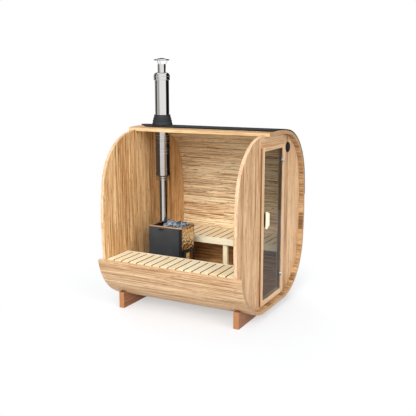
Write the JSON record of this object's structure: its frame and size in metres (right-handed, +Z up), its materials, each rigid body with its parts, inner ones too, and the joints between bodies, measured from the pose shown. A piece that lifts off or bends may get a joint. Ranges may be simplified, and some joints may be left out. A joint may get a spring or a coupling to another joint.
{
  "type": "barrel sauna",
  "caption": "Rounded-square staved barrel sauna on cross cradles, cut open along its front, with a glazed door, slatted benches, wood-burning stove and chimney.",
  "frame": {"origin": "on the ground under the middle of the barrel, midway between its ends", "axes": "+X along the barrel towards the door end, -Y towards the open front, +Z up"},
  "size_m": [1.9, 1.9829, 3.042],
  "materials": {
    "stave_wood": "oiled, light brown",
    "wall_wood": "planed, light brown",
    "frame_wood": "planed, pale",
    "bench_wood": "sanded, pale",
    "cradle_wood": "oiled, reddish brown",
    "roof_membrane": "matt black sheet",
    "flashing_rubber": "moulded, matt",
    "door_glass": "tinted bronze, polished",
    "hinge_metal": "polished",
    "black_plastic": "moulded, matt",
    "stove_steel": "heat-resistant paint, satin",
    "shield_steel": "polished",
    "stones": "rough, blue-grey",
    "fire_door_iron": "blackened",
    "fire_glass": "heat-proof, polished",
    "flue_steel": "polished stainless"
  },
  "bodies": {
    "sauna": {"roof_staves": "stave_wood", "shoulder_staves": "stave_wood", "back_staves": "stave_wood", "back_haunch_staves": "stave_wood", "floor_staves": "stave_wood", "front_haunch_staves": "stave_wood", "stove_end_wall": "wall_wood", "front_door_wall": "wall_wood", "back_door_wall": "wall_wood", "door_wall_infill": "wall_wood", "door_frame": "frame_wood", "door_stops": "frame_wood", "front_bench_slats": "bench_wood", "front_bench_rails": "bench_wood", "front_bench_leg": "bench_wood", "back_bench_slats": "bench_wood", "back_bench_rails": "bench_wood", "back_bench_leg": "bench_wood", "stove_end_cradle": "cradle_wood", "door_end_cradle": "cradle_wood", "roof_cover": "roof_membrane", "roof_flashing": "flashing_rubber", "door_hinge_plates": "hinge_metal", "wall_vent": "black_plastic", "stove_base": "stove_steel", "stove_casing": "stove_steel", "stove_face": "stove_steel", "stone_tray": "stove_steel", "stove_heat_shield": "shield_steel", "stove_rim": "shield_steel", "stove_stones": "stones", "fire_hinge_brackets": "fire_door_iron", "flue_pipe": "flue_steel", "insulated_flue": "flue_steel", "chimney_pipe": "flue_steel", "chimney_adapter": "flue_steel", "cap_struts": "flue_steel", "rain_cap": "flue_steel"},
    "door": {"door_glass": "door_glass", "door_hinge_clamps": "hinge_metal", "door_handle_grips": "frame_wood", "door_handle_backing": "black_plastic"},
    "fire_door": {"fire_door_frame": "fire_door_iron", "fire_door_glass": "fire_glass", "fire_door_handle": "fire_door_iron"}
  },
  "joints": [
    {"name": "door_swing", "type": "hinge", "parent": "sauna", "child": "door", "pos_m": [0.921, 0.278, 1.1], "axis": [0, 0, 1], "range_deg": [0, 110]},
    {"name": "fire_door_swing", "type": "hinge", "parent": "sauna", "child": "fire_door", "pos_m": [-0.206, 0.0923, 0.483], "axis": [0, 0, 1], "range_deg": [0, 100]}
  ]
}
